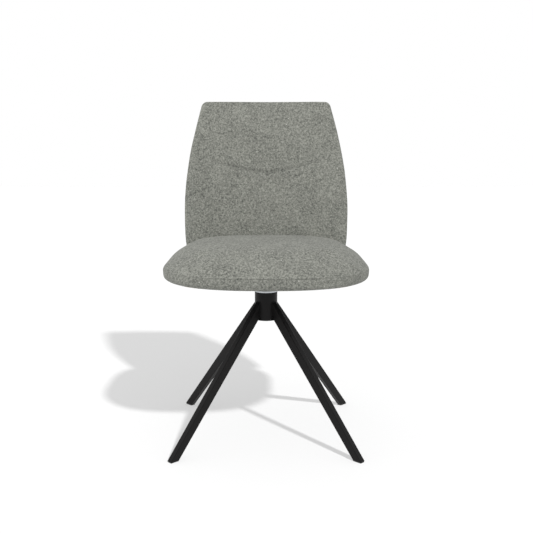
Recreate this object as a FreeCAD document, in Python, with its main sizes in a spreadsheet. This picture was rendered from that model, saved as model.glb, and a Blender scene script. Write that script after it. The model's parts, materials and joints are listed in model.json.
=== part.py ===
# Swivel dining chair: four tapered legs on a hub tube, a roller-bearing swivel, a cushioned seat and back.
# Millimetres. The origin is on the floor on the swivel axis, +Z up, and the sitter faces -Y.
import FreeCAD
import Part
import Sketcher
import math
import os
import re

Vector = FreeCAD.Vector
Placement = FreeCAD.Placement
Rotation = FreeCAD.Rotation

doc = FreeCAD.newDocument("SwivelDiningChair")
sheet = doc.addObject("Spreadsheet::Sheet", "Sizes")

# Driving dimensions. Lengths are millimetres and angles are degrees; a level is a height above the floor.
SIZES = {
    # legs and hub
    "foot_radius": 320.0,
    "foot_depth": 24.8,
    "leg_outer_angle": 40.5,
    "leg_inner_angle": 41.4,
    "leg_width": 15.0,
    "leg_wall": 2.0,
    "leg_corner": 1.5,
    "leg_root_radius": 20.0,
    "hub_radius": 28.5,
    "hub_wall": 3.0,
    "hub_bottom": 294.0,
    "hub_top": 365.0,
    "cap_depth": 8.0,
    "cap_wall": 2.0,
    # glides
    "glide_height": 3.0,
    "glide_inset": 0.8,
    "glide_stem": 34.0,
    "glide_fit": 0.15,
    # swivel bearing
    "spindle_radius": 11.0,
    "neck_radius": 13.0,
    "tenon_radius": 9.0,
    "spindle_bottom": 305.0,
    "bush_radius": 15.0,
    "bush_length": 20.0,
    "running_fit": 0.06,
    "housing_wall": 3.0,
    "housing_bottom": 312.0,
    "housing_web": 6.0,
    "flange_radius": 28.0,
    "flange_height": 2.5,
    "race_seat": 359.0,
    "race_radius": 22.0,
    "race_height": 2.5,
    "race_gap": 0.6,
    "roller_radius": 1.8,
    "roller_length": 5.0,
    "roller_start": 14.5,
    "roller_level": 363.4,
    "roller_count": 10,
    "roller_play": 0.1,
    "cage_height": 2.0,
    "cage_inner": 13.0,
    "cage_outer": 21.0,
    "washer_level": 367.8,
    "washer_height": 1.5,
    "washer_radius": 27.6,
    "thrust_height": 1.5,
    "thrust_radius": 18.0,
    "clip_height": 1.2,
    "clip_radius": 14.0,
    "clip_groove": 9.8,
    # swivel plate
    "plate_level": 413.0,
    "plate_wall": 3.0,
    "plate_depth": 9.0,
    "plate_width": 150.0,
    "plate_length": 170.0,
    "plate_corner": 16.0,
    "boss_flange": 36.0,
    "boss_flange_height": 4.0,
    "boss_height": 28.0,
    "boss_tip_radius": 18.0,
    "plate_bolt_x": 58.0,
    "plate_bolt_y": 68.0,
    "plate_hole": 4.5,
    # bolts of the swivel plate, screws of the back brackets, and their threaded inserts
    "bolt_shank": 4.0,
    "bolt_reach": 14.0,
    "bolt_head": 7.5,
    "bolt_head_height": 5.3,
    "bolt_washer": 8.0,
    "bolt_washer_height": 1.6,
    "bolt_insert": 5.5,
    "screw_shank": 3.0,
    "screw_reach": 14.0,
    "screw_head": 6.0,
    "screw_head_height": 3.6,
    "screw_hole": 3.3,
    "screw_insert": 4.5,
    "insert_depth": 10.5,
    "insert_play": 0.1,
    # seat
    "board_height": 12.0,
    "board_inset": 26.0,
    "seat_half_width": 248.0,
    "seat_front": 290.0,
    "seat_middle": 55.0,
    "seat_rear": 173.0,
    "seat_bottom": 411.0,
    "seat_widest": 429.0,
    "seat_top": 499.0,
    "seat_under_roll": 24.0,
    "seat_crown_power": 2.6,
    "seat_side_arc": 1400.0,
    "seat_front_arc": 1150.0,
    "seat_rear_arc": 1900.0,
    "seat_front_corner": 165.0,
    "seat_rear_corner": 117.0,
    "lip_width": 36.0,
    "dust_height": 0.8,
    "dust_overlap": 16.0,
    # back
    "back_front": 178.0,
    "back_front_level": 450.0,
    "back_lean": 10.0,
    "back_curl": 9.6,
    "back_bottom": 414.0,
    "back_top": 851.0,
    "back_half_width": 225.5,
    "back_widest": 570.0,
    "back_top_narrowing": 43.0,
    "back_top_power": 1.7,
    "back_foot_narrowing": 11.7,
    "back_lumbar_thickness": 52.0,
    "back_top_thickness": 36.0,
    "back_lumbar_level": 520.0,
    "back_bow": 20.0,
    "back_roll": 25.0,
    "back_foot_corner": 28.0,
    "back_face_roll": 14.0,
    "back_edge_share": 0.6,
    # back board, in a frame that leans with the back
    "back_tilt": 10.6,
    "back_pivot_y": 199.6,
    "back_pivot_z": 430.0,
    "back_board_height": 10.0,
    "back_board_bottom": 12.0,
    "back_board_top": 395.0,
    "back_board_half": 172.0,
    "back_board_tip": 146.0,
    "back_board_corner": 32.0,
    "back_insert_depth": 7.0,
    "back_screw_reach": 12.0,
    # back brackets
    "bracket_x": 105.0,
    "bracket_width": 40.0,
    "bracket_height": 5.0,
    "bracket_front": -40.0,
    "bracket_top": 620.0,
    "bracket_seating": 1.6,
    "bracket_hole_first": -10.0,
    "bracket_hole_pitch": 100.0,
    "back_screw_first": 40.0,
    "back_screw_pitch": 110.0,
}
for row, (alias, value) in enumerate(SIZES.items(), start=1):
    sheet.set(f"A{row}", alias)
    sheet.set(f"B{row}", str(value))
    sheet.setAlias(f"B{row}", alias)
doc.recompute()


def size(alias):
    """The value of one cell of the sheet."""
    return float(sheet.get(alias))


def linked(text):
    """An expression with each name of a cell pointed at the sheet. Cells' names hold an underscore."""
    return re.sub(r"\b([a-z]+(?:_[a-z]+)+)\b", r"Sizes.\1", text)


def bind(thing, **expressions):
    """Ties properties of an object to the sheet."""
    for name, text in expressions.items():
        thing.setExpression(name.replace("__", "."), linked(text))


nodes = []


def node(thing, label):
    """Gives a sub-part its own label, which also names its file."""
    thing.Label = label
    nodes.append(thing)
    return thing


def new_body(label):
    """A body that is a sub-part of its own."""
    return node(doc.addObject("PartDesign::Body", label.title().replace("_", "")), label)


def new_sketch(body, plane):
    """A sketch on one of the body's own origin planes: XY_Plane, XZ_Plane or YZ_Plane."""
    sketch = body.newObject("Sketcher::SketchObject", body.Name + "Sketch")
    origin_plane = [f for f in body.Origin.OriginFeatures if f.Role == plane][0]
    sketch.AttachmentSupport = [(origin_plane, "")]
    sketch.MapMode = "FlatFace"
    return sketch


def pin(sketch, element, point, across, up):
    """Ties one point of the sketch to its two coordinates."""
    for kind, text in (("DistanceX", across), ("DistanceY", up)):
        number = sketch.addConstraint(Sketcher.Constraint(kind, -1, 1, element, point, 1.0))
        sketch.setExpression(f"Constraints[{number}]", linked(text))


def polygon(sketch, corners):
    """A closed outline of straight edges, its corners given as pairs of expressions."""
    count = len(corners)
    first = sketch.GeometryCount
    around = [2 * math.pi * k / count for k in range(count + 1)]
    loose = [Vector(math.cos(turn), math.sin(turn), 0) for turn in around]
    for k in range(count):
        sketch.addGeometry(Part.LineSegment(loose[k], loose[k + 1]), False)
    for k in range(count):
        after = first + (k + 1) % count
        sketch.addConstraint(Sketcher.Constraint("Coincident", first + k, 2, after, 1))
    for k, (across, up) in enumerate(corners):
        pin(sketch, first + k, 1, across, up)
    return sketch


def circle(sketch, radius, across="0", up="0"):
    """A circle whose radius and centre are expressions."""
    element = sketch.addGeometry(Part.Circle(Vector(1, 1, 0), Vector(0, 0, 1), 1.0), False)
    number = sketch.addConstraint(Sketcher.Constraint("Radius", element, 1.0))
    sketch.setExpression(f"Constraints[{number}]", linked(radius))
    pin(sketch, element, 3, across, up)
    return sketch


def box_corners(left, right, low, high):
    """The corners of an upright rectangle, as expressions."""
    return [(left, low), (right, low), (right, high), (left, high)]


def revolve(body, corners):
    """Turns an outline of radius and height pairs about the body's Z axis."""
    sketch = polygon(new_sketch(body, "XZ_Plane"), corners)
    turned = body.newObject("PartDesign::Revolution", body.Name + "Turned")
    turned.Profile = sketch
    turned.ReferenceAxis = (sketch, ["V_Axis"])
    turned.Angle = 360
    return turned


def pad(body, sketch, length, centred=False):
    """Thickens a sketch, to one side or evenly to both."""
    padded = body.newObject("PartDesign::Pad", body.Name + "Pad")
    padded.Profile = sketch
    padded.SideType = "Symmetric" if centred else "One side"
    bind(padded, Length=length)
    return padded


def pocket(body, sketch, length=None, centred=False):
    """Cuts a sketch out of the body, to a depth or right through both ways."""
    doc.recompute()
    before = body.Tip.Shape.Volume
    cut = body.newObject("PartDesign::Pocket", body.Name + "Pocket")
    cut.Profile = sketch
    cut.SideType = "Symmetric" if centred or length is None else "One side"
    if length is None:
        cut.Type = "ThroughAll"
    else:
        bind(cut, Length=length)
    doc.recompute()
    if cut.Shape.Volume > before - 1e-3:
        cut.Reversed = True
        doc.recompute()
    if cut.Shape.Volume > before - 1e-3:
        raise ValueError(f"{body.Label}: the pocket removes nothing")
    return cut


def round_edges(body, radius, wanted):
    """Rounds the edges of the body's last feature that the test accepts."""
    doc.recompute()
    base = body.Tip
    names = [f"Edge{k}" for k, edge in enumerate(base.Shape.Edges, start=1) if wanted(edge)]
    rounded = body.newObject("PartDesign::Fillet", body.Name + "Fillet")
    rounded.Base = (base, names)
    bind(rounded, Radius=radius)
    return rounded


def along(edge, direction, least=1.0):
    """True for a straight edge along a direction and at least so long."""
    if len(edge.Vertexes) != 2 or edge.Length < least or edge.Curve.TypeId != "Part::GeomLine":
        return False
    return abs(abs(edge.Curve.Direction.dot(direction)) - 1) < 1e-6


def group(label, pieces):
    """Like pieces that share a node as separate solids."""
    compound = doc.addObject("Part::Compound", label.title().replace("_", ""))
    compound.Links = pieces
    return node(compound, label)


def cut_away(name, base, *tools):
    """The base solid without the tools, one cut after another."""
    for k, tool in enumerate(tools):
        cut = doc.addObject("Part::Cut", f"{name}{k}")
        cut.Base = base
        cut.Tool = tool
        base = cut
    return base


def block(name, x_range, y_range, z_range):
    """A block between two expressions along each axis."""
    box = doc.addObject("Part::Box", name)
    bind(box, Length=f"({x_range[1]}) - ({x_range[0]})", Width=f"({y_range[1]}) - ({y_range[0]})",
         Height=f"({z_range[1]}) - ({z_range[0]})")
    bind(box, Placement__Base__x=x_range[0], Placement__Base__y=y_range[0],
         Placement__Base__z=z_range[0])
    return box


def rod(name, radius, low, high, across="0", depth="0"):
    """An upright cylinder between two levels."""
    cylinder = doc.addObject("Part::Cylinder", name)
    bind(cylinder, Radius=radius, Height=f"({high}) - ({low})")
    bind(cylinder, Placement__Base__x=across, Placement__Base__y=depth, Placement__Base__z=low)
    return cylinder


# Hub tube and its legs

def outer_leg_line(level):
    """Distance of a leg's outer edge from the axis at a level."""
    return f"foot_radius - ({level}) * tan(leg_outer_angle)"


def inner_leg_line(level):
    """Distance of a leg's inner edge from the axis at a level."""
    return f"foot_radius - foot_depth - ({level}) * tan(leg_inner_angle)"


def slanted(inset, low, root):
    """A leg's side outline, moved in by an inset square to its edges, from a level to a root radius."""
    outer_shift = f"({inset}) / cos(leg_outer_angle)"
    inner_shift = f"({inset}) / cos(leg_inner_angle)"
    outer_top = f"(foot_radius - {outer_shift} - {root}) / tan(leg_outer_angle)"
    inner_top = f"(foot_radius - foot_depth + {inner_shift} - {root}) / tan(leg_inner_angle)"
    return [
        (f"{outer_leg_line(low)} - {outer_shift}", low),
        (root, outer_top),
        (root, inner_top),
        (f"{inner_leg_line(low)} + {inner_shift}", low),
    ]


def leg(label, turn):
    """One tapered tube leg, coped to the hub and cut level above its glide."""
    body = new_body(label)
    side = polygon(new_sketch(body, "XZ_Plane"), slanted("0", "glide_height", "leg_root_radius"))
    pad(body, side, "leg_width", centred=True)
    round_edges(body, "leg_corner", lambda edge: edge.Length > 300)
    bore = polygon(new_sketch(body, "XZ_Plane"), slanted("leg_wall", "0", "leg_root_radius"))
    pocket(body, bore, "leg_width - 2 * leg_wall", centred=True)
    pocket(body, circle(new_sketch(body, "XY_Plane"), "hub_radius"))
    body.Placement = Placement(Vector(), Rotation(Vector(0, 0, 1), turn))


def glide(label, turn):
    """The plastic foot of one leg: a flat sole and a stem that follows the leg's slope."""
    body = new_body(label)
    low = inner_leg_line("glide_height") + " + glide_inset"
    high = outer_leg_line("glide_height") + " - glide_inset"
    half = "leg_width / 2 - glide_inset"
    sole = polygon(new_sketch(body, "XY_Plane"), box_corners(low, high, f"-({half})", half))
    pad(body, sole, "glide_height")
    round_edges(body, "leg_corner", lambda edge: along(edge, Vector(0, 0, 1)))
    shift = "leg_wall + glide_fit"
    stem = [
        (f"{outer_leg_line('glide_height')} - ({shift}) / cos(leg_outer_angle)", "glide_height"),
        (f"{outer_leg_line('glide_stem')} - ({shift}) / cos(leg_outer_angle)", "glide_stem"),
        (f"{inner_leg_line('glide_stem')} + ({shift}) / cos(leg_inner_angle)", "glide_stem"),
        (f"{inner_leg_line('glide_height')} + ({shift}) / cos(leg_inner_angle)", "glide_height"),
    ]
    pad(body, polygon(new_sketch(body, "XZ_Plane"), stem), f"leg_width - 2 * ({shift})", centred=True)
    body.Placement = Placement(Vector(), Rotation(Vector(0, 0, 1), turn))


CORNERS = {"front_right": -45, "rear_right": 45, "rear_left": 135, "front_left": 225}
for corner, turn in CORNERS.items():
    leg(f"leg_{corner}", turn)
    glide(f"glide_{corner}", turn)

hub = new_body("hub_tube")
revolve(hub, box_corners("hub_radius - hub_wall", "hub_radius", "hub_bottom", "hub_top"))

cap = new_body("hub_cap")
revolve(cap, [
    ("0", "hub_bottom"),
    ("hub_radius - hub_wall", "hub_bottom"),
    ("hub_radius - hub_wall", "hub_bottom + cap_depth"),
    ("hub_radius - hub_wall - cap_wall", "hub_bottom + cap_depth"),
    ("hub_radius - hub_wall - cap_wall", "hub_bottom + cap_wall"),
    ("0", "hub_bottom + cap_wall"),
])

# Swivel bearing, the part that stays with the base

housing = new_body("bearing_housing")
revolve(housing, [
    ("bush_radius", "housing_bottom"),
    ("hub_radius - hub_wall", "housing_bottom"),
    ("hub_radius - hub_wall", "housing_bottom + housing_web"),
    ("bush_radius + housing_wall", "housing_bottom + housing_web"),
    ("bush_radius + housing_wall", "race_seat - housing_web"),
    ("hub_radius - hub_wall", "race_seat - housing_web"),
    ("hub_radius - hub_wall", "hub_top"),
    ("flange_radius", "hub_top"),
    ("flange_radius", "hub_top + flange_height"),
    ("race_radius", "hub_top + flange_height"),
    ("race_radius", "race_seat"),
    ("bush_radius", "race_seat"),
])
for label, low in (("lower_bush", "housing_bottom"), ("upper_bush", "race_seat - bush_length")):
    bush = new_body(label)
    revolve(bush, box_corners("spindle_radius + running_fit", "bush_radius", low, f"{low} + bush_length"))


def race(label, inner, outer, low):
    """One flat washer of the thrust bearing."""
    revolve(new_body(label), box_corners(inner, outer, low, f"{low} + race_height"))


race("bearing_lower_race", "spindle_radius + race_gap", "race_radius", "race_seat")

# Swivel bearing, the cage and rollers, which turn at half the seat's rate

cage = new_body("roller_cage")
ring = circle(circle(new_sketch(cage, "XY_Plane"), "cage_outer"), "cage_inner")
pad(cage, ring, "cage_height")
window = box_corners("roller_start - roller_play", "roller_start + roller_length + roller_play",
                     "-roller_radius - roller_play", "roller_radius + roller_play")
slot_cut = pocket(cage, polygon(new_sketch(cage, "XY_Plane"), window))
pattern = cage.newObject("PartDesign::PolarPattern", "CagePattern")
pattern.Originals = [slot_cut]
pattern.Axis = ([f for f in cage.Origin.OriginFeatures if f.Role == "Z_Axis"][0], [""])
pattern.Angle = 360
bind(pattern, Occurrences="roller_count")
cage.Tip = pattern
bind(cage, Placement__Base__z="roller_level - cage_height / 2")

rollers = []
for k in range(int(size("roller_count"))):
    turn = 360 * k / size("roller_count")
    roller = doc.addObject("Part::Cylinder", f"Roller{k}")
    outwards = Rotation(Vector(0, 0, 1), turn).multiply(Rotation(Vector(0, 1, 0), 90))
    start = outwards.multVec(Vector(0, 0, size("roller_start")))
    roller.Placement = Placement(start + Vector(0, 0, size("roller_level")), outwards)
    bind(roller, Radius="roller_radius", Height="roller_length")
    rollers.append(roller)
group("bearing_rollers", rollers)

# Swivel bearing, the part that turns with the seat

race("bearing_upper_race", "spindle_radius", "race_radius - race_gap", "washer_level - race_height")

washer = new_body("dust_washer")
washer_top = "washer_level + washer_height"
revolve(washer, [
    ("spindle_radius", "washer_level"),
    ("washer_radius", "washer_level"),
    ("washer_radius", f"{washer_top} - washer_height / 3"),
    ("washer_radius - washer_height / 3", washer_top),
    ("spindle_radius", washer_top),
])

spindle = new_body("spindle")
neck = washer_top
clip = "housing_bottom - thrust_height - clip_height"
revolve(spindle, [
    ("0", "spindle_bottom"),
    ("clip_groove", "spindle_bottom"),
    ("spindle_radius", "spindle_bottom + spindle_radius - clip_groove"),
    ("spindle_radius", clip),
    ("clip_groove", clip),
    ("clip_groove", f"{clip} + clip_height"),
    ("spindle_radius", f"{clip} + clip_height"),
    ("spindle_radius", neck),
    ("neck_radius", neck),
    ("neck_radius", "plate_level - plate_wall"),
    ("tenon_radius", "plate_level - plate_wall"),
    ("tenon_radius", "plate_level"),
    ("0", "plate_level"),
])

thrust = new_body("thrust_washer")
revolve(thrust, box_corners("spindle_radius", "thrust_radius", f"{clip} + clip_height",
                            "housing_bottom - race_gap / 2"))

circlip = new_body("circlip")
revolve(circlip, box_corners("clip_groove", "clip_radius", clip, f"{clip} + clip_height"))
mouth = box_corners("-3", "3", "-clip_radius - 1", "0")
pocket(circlip, polygon(new_sketch(circlip, "XY_Plane"), mouth))

boss = new_body("spindle_boss")
boss_top = "plate_level - plate_wall"
revolve(boss, [
    ("neck_radius", f"{boss_top} - boss_height"),
    ("boss_tip_radius", f"{boss_top} - boss_height"),
    ("boss_flange - 8", f"{boss_top} - boss_flange_height"),
    ("boss_flange", f"{boss_top} - boss_flange_height"),
    ("boss_flange", boss_top),
    ("neck_radius", boss_top),
])

# Swivel plate: a pressed tray with turned-down edges

plate = new_body("swivel_plate")
outline = box_corners("-plate_width / 2", "plate_width / 2", "-plate_length / 2", "plate_length / 2")
pad(plate, polygon(new_sketch(plate, "XY_Plane"), outline), "plate_depth")
inside = box_corners("-(plate_width / 2 - plate_wall)", "plate_width / 2 - plate_wall",
                     "-(plate_length / 2 - plate_wall)", "plate_length / 2 - plate_wall")
pocket(plate, polygon(new_sketch(plate, "XY_Plane"), inside), "plate_depth - plate_wall")
outer_corner_x = size("plate_width") / 2
round_edges(plate, "plate_corner - plate_wall",
            lambda edge: along(edge, Vector(0, 0, 1)) and abs(edge.CenterOfMass.x) < outer_corner_x - 1)
round_edges(plate, "plate_corner",
            lambda edge: along(edge, Vector(0, 0, 1)) and abs(edge.CenterOfMass.x) > outer_corner_x - 0.1)
doc.recompute()
rim = plate.Tip
rim_edges = [f"Edge{k}" for k, edge in enumerate(rim.Shape.Edges, start=1)
             if edge.CenterOfMass.z > size("plate_depth") - 0.1]
bevel = plate.newObject("PartDesign::Chamfer", "SwivelPlateBevel")
bevel.Base = (rim, rim_edges)
bind(bevel, Size="plate_wall / 2")
holes = circle(new_sketch(plate, "XY_Plane"), "tenon_radius")
for across in (1, -1):
    for depth in (1, -1):
        circle(holes, "plate_hole", f"{across} * plate_bolt_x", f"{depth} * plate_bolt_y")
pocket(plate, holes)
bind(plate, Placement__Base__z="plate_level - plate_depth")

# Soft forms: outlines of arcs that touch each other, stacked into closed solids


def corner_arc(half_width, depth, side_arc, end_arc, corner):
    """Start, middle and end of the arc that rounds the corner between a side arc and an end arc."""
    side = Vector(half_width - side_arc, 0, 0)
    end = Vector(0, depth - end_arc, 0)
    apart = end - side
    from_side = side_arc - corner
    from_end = end_arc - corner
    along_line = (from_side ** 2 - from_end ** 2 + apart.Length ** 2) / (2 * apart.Length)
    off_line = math.sqrt(from_side ** 2 - along_line ** 2)
    apart.normalize()
    centre = side + apart * along_line + Vector(-apart.y, apart.x, 0) * off_line
    on_side = side + (centre - side) * (side_arc / from_side)
    on_end = end + (centre - end) * (end_arc / from_end)
    outwards = (on_side - centre) + (on_end - centre)
    return on_side, centre + outwards.normalize() * corner, on_end


def arc_or_line(start, middle, end):
    """The edge through three points, straight where they lie in line."""
    if (middle - start).cross(end - start).Length < 1e-6:
        return Part.LineSegment(start, end).toShape()
    return Part.Arc(start, middle, end).toShape()


def arcs_through(points):
    """A closed wire of edges, each through three points and sharing its ends with the next."""
    count = len(points)
    return Part.Wire([arc_or_line(points[k], points[k + 1], points[(k + 2) % count])
                      for k in range(0, count, 2)])


def seat_outline(level, scale=1.0, inset=0.0):
    """The seat's outline at a level, scaled about its middle or moved in."""
    half_width = scale * size("seat_half_width") - inset
    side_arc = scale * size("seat_side_arc") - inset
    quarters = []
    for end, way in (("rear", 1), ("front", -1)):
        depth = scale * (size(f"seat_{end}") + way * size("seat_middle")) - inset
        end_arc = scale * size(f"seat_{end}_arc") - inset
        corner = scale * size(f"seat_{end}_corner") - inset
        three = corner_arc(half_width, depth, side_arc, end_arc, corner)
        across = [Vector(point.x, way * point.y, 0) for point in three]
        mirrored = [Vector(-point.x, point.y, 0) for point in reversed(across)]
        quarters.append(across + [Vector(0, way * depth, 0)] + mirrored)
    rear, front = quarters
    points = rear + [Vector(-half_width, 0, 0)] + front[::-1] + [Vector(half_width, 0, 0)]
    return arcs_through([point + Vector(0, -size("seat_middle"), level) for point in points])


def lofted(name, wires):
    """A closed solid through outlines stacked from bottom to top."""
    thing = doc.addObject("Part::Feature", name)
    thing.Shape = Part.makeLoft(wires, True, True)
    return thing


def seat_form(name):
    """The seat cushion's crowned form."""
    widest = size("seat_widest")
    below = widest - size("seat_bottom")
    above = size("seat_top") - widest
    crown = size("seat_crown_power")
    wires = []
    for drop in (1.0, 0.6):
        roll = size("seat_under_roll") * (1 - math.sqrt(1 - drop ** 2))
        wires.append(seat_outline(widest - below * drop, inset=roll))
    for rise in (0.0, 0.55, 0.85, 1.0):
        shrink = (1 - (0.98 * rise) ** crown) ** (1 / crown)
        wires.append(seat_outline(widest + above * rise, scale=shrink))
    return lofted(name, wires)


def back_half_width(level):
    """Half the back's width at a level: widest behind the lumbar region, narrower towards the top."""
    widest = size("back_widest")
    if level > widest:
        rise = (level - widest) / (size("back_top") - size("back_roll") - widest)
        return size("back_half_width") - size("back_top_narrowing") * rise ** size("back_top_power")
    drop = (widest - level) / (widest - size("back_bottom"))
    return size("back_half_width") - size("back_foot_narrowing") * drop ** 2


def back_front_line(level):
    """Depth of the back's front face on the middle line at a level: it leans back, more so higher up."""
    over = level - size("back_front_level")
    curl = size("back_curl") * (over / (size("back_top") - size("back_front_level"))) ** 2
    return size("back_front") + over * math.tan(math.radians(size("back_lean"))) + curl


def back_thickness(level):
    """Thickness of the back at a level: fullest at the lumbar region."""
    over = (level - size("back_lumbar_level")) / (size("back_top") - size("back_lumbar_level"))
    fullest = size("back_lumbar_thickness")
    return fullest - (fullest - size("back_top_thickness")) * over ** 2


def back_section(level, edge_cut=0.0, face_cut=0.0):
    """The back's outline at a level: two faces bent about one axis, and rounded ends between them."""
    half_thickness = back_thickness(level) / 2 - face_cut
    middle = back_front_line(level) + back_thickness(level) / 2
    bend = size("back_half_width") ** 2 / (2 * size("back_bow"))
    rounding = size("back_edge_share") * half_thickness
    end = math.asin((back_half_width(level) - edge_cut) / (bend + half_thickness - rounding))
    faces = []
    for way in (-1, 1):
        face = bend + way * half_thickness
        inner = face - way * rounding
        turn = math.asin(rounding / inner)
        mid_turn = math.radians(45)
        corner = Vector(inner * math.sin(end - turn), inner * math.cos(end - turn), 0)
        lean = end - turn + way * mid_turn + (math.pi if way < 0 else 0)
        faces.append([
            Vector(face * math.sin(end - turn), face * math.cos(end - turn), 0),
            corner + Vector(math.sin(lean), math.cos(lean), 0) * rounding,
            Vector(inner * math.cos(turn) * math.sin(end), inner * math.cos(turn) * math.cos(end), 0),
        ])
    front, rear = faces
    right = front + [(front[2] + rear[2]) / 2] + rear[::-1]
    left = [Vector(-point.x, point.y, 0) for point in reversed(right)]
    points = right + [Vector(0, bend + half_thickness, 0)] + left + [Vector(0, bend - half_thickness, 0)]
    return arcs_through([point + Vector(0, middle - bend, level) for point in points])


def back_form(name):
    """The back cushion's form."""
    bottom = size("back_bottom")
    top = size("back_top")
    roll = size("back_roll")
    face_roll = size("back_face_roll")
    wires = []
    for end in (1.0, 0.7):
        rolled = 1 - math.sqrt(1 - end ** 2)
        wires.append(back_section(bottom + roll * (1 - end), size("back_foot_corner") * rolled,
                                  face_roll * rolled))
    first, last = bottom + roll, top - roll
    spans = 4
    for k in range(spans + 1):
        wires.append(back_section(first + (last - first) * k / spans))
    for end in (0.7, 1.0):
        rolled = 1 - math.sqrt(1 - end ** 2)
        wires.append(back_section(top - roll * (1 - end), roll * rolled, face_roll * rolled))
    return lofted(name, wires)


seat_solid = seat_form("SeatForm")
back_solid = back_form("BackForm")


def seat_panel(label, inset, low, height):
    """A flat panel that follows the seat's outline at an inset."""
    panel = doc.addObject("Part::Feature", label)
    panel.Shape = Part.Face(seat_outline(low, inset=inset)).extrude(Vector(0, 0, height))
    return panel


def back_frame_placement():
    """The leaning frame of the back's board: its own Z runs up the back."""
    return Placement(Vector(0, size("back_pivot_y"), size("back_pivot_z")),
                     Rotation(Vector(1, 0, 0), -size("back_tilt")))


# Brackets: flat steel bent up into the back

BRACKET_HOLES = [size("bracket_hole_first") + k * size("bracket_hole_pitch") for k in range(2)]
SIDES = {"left": "-bracket_x", "right": "bracket_x"}


def bracket_line(level, behind="0"):
    """Depth of the bracket's front face at a level, or of a face behind it."""
    seat_line = "back_pivot_y - bracket_seating / cos(back_tilt)"
    return f"{seat_line} + ({level} - back_pivot_z) * tan(back_tilt) + ({behind}) / cos(back_tilt)"


under = "plate_level"
low_face = "plate_level - bracket_height"


def bracket(name, across):
    """One bent bracket, with the holes of its level leg."""
    body = doc.addObject("PartDesign::Body", name)
    corners = [
        ("bracket_front", low_face),
        (bracket_line(low_face, "bracket_height"), low_face),
        (bracket_line("bracket_top", "bracket_height"), "bracket_top"),
        (bracket_line("bracket_top"), "bracket_top"),
        (bracket_line(under), under),
        ("bracket_front", under),
    ]
    pad(body, polygon(new_sketch(body, "YZ_Plane"), corners), "bracket_width", centred=True)
    inside_level = size("plate_level")
    outside_level = inside_level - size("bracket_height")

    def at_bend(edge, level):
        """True for the bend's edge at a level."""
        middle = edge.CenterOfMass
        return along(edge, Vector(1, 0, 0)) and middle.y > size("back_front") and abs(middle.z - level) < 0.01

    round_edges(body, "bracket_height * 1.5", lambda edge: at_bend(edge, inside_level))
    round_edges(body, "bracket_height * 2.5", lambda edge: at_bend(edge, outside_level))
    holes = new_sketch(body, "XY_Plane")
    for depth in BRACKET_HOLES:
        circle(holes, "screw_hole", "0", str(depth))
    pocket(body, holes)
    bind(body, Placement__Base__x=across)
    return body


bent_steel = {side: bracket(f"BentSteel{side.title()}", across) for side, across in SIDES.items()}
doc.recompute()

# Fasteners: a kind is "bolt" or "screw", which begins the names of its sizes

def bolt(name, kind, reach, spot):
    """A hexagon-headed bolt along its own Z axis, its head below the face that it clamps."""
    head = doc.addObject("Part::Prism", name + "Head")
    head.Polygon = 6
    bind(head, Circumradius=f"{kind}_head", Height=f"{kind}_head_height")
    bind(head, Placement__Base__z=f"-({kind}_head_height)")
    joined = doc.addObject("Part::MultiFuse", name)
    joined.Shapes = [head, rod(name + "Stem", f"{kind}_shank", "0", reach)]
    joined.Placement = spot
    return joined


def insert(name, kind, depth, spot):
    """A threaded insert along its own Z axis, sunk below the face of its board."""
    barrel = rod(name + "Barrel", f"{kind}_insert", "0", depth)
    bore = rod(name + "Bore", f"{kind}_shank + insert_play", "-1", f"({depth}) + 1")
    sleeve = cut_away(name, barrel, bore)
    sleeve.Placement = spot
    return sleeve


def upright(x, y, z):
    """A place for something that points up."""
    return Placement(Vector(x, y, z), Rotation())


# Seat board, with inserts for the bolts and screws that come from below

board_level = size("plate_level")
plate_spots = [(across * size("plate_bolt_x"), depth * size("plate_bolt_y"))
               for across in (1, -1) for depth in (1, -1)]
bracket_spots = [(across * size("bracket_x"), depth) for across in (1, -1) for depth in BRACKET_HOLES]
board_blank = seat_panel("SeatBoardBlank", size("board_inset"), board_level, size("board_height"))
insert_holes = [rod(f"InsertHole{kind}{k}", f"{kind}_insert", "plate_level - 1", "plate_level + insert_depth",
                    str(x), str(y))
                for kind, spots in (("bolt", plate_spots), ("screw", bracket_spots))
                for k, (x, y) in enumerate(spots)]
node(cut_away("SeatBoard", board_blank, *insert_holes), "seat_board")

washers = []
tray_floor = "plate_level - plate_wall"
for k, (x, y) in enumerate(plate_spots):
    disc = rod(f"WasherDisc{k}", "bolt_washer", f"{tray_floor} - bolt_washer_height", tray_floor,
               str(x), str(y))
    bore = rod(f"WasherBore{k}", "bolt_shank + insert_play", f"{tray_floor} - 3", "plate_level",
               str(x), str(y))
    washers.append(cut_away(f"PlateWasher{k}", disc, bore))
group("plate_washers", washers)
head_level = board_level - size("plate_wall") - size("bolt_washer_height")
group("plate_bolts", [bolt(f"PlateBolt{k}", "bolt", "bolt_reach", upright(x, y, head_level))
                      for k, (x, y) in enumerate(plate_spots)])
group("plate_inserts", [insert(f"PlateInsert{k}", "bolt", "insert_depth", upright(x, y, board_level))
                        for k, (x, y) in enumerate(plate_spots)])
bracket_level = board_level - size("bracket_height")
group("bracket_bolts", [bolt(f"BracketBolt{k}", "screw", "screw_reach", upright(x, y, bracket_level))
                        for k, (x, y) in enumerate(bracket_spots)])
group("bracket_inserts", [insert(f"BracketInsert{k}", "screw", "insert_depth", upright(x, y, board_level))
                          for k, (x, y) in enumerate(bracket_spots)])

# Back board: bent plywood, concave to the front, in the leaning frame of the back

bend = size("back_half_width") ** 2 / (2 * size("back_bow"))
half_board = size("back_board_height") / 2
leaning = back_frame_placement()
TALL = 900


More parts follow.
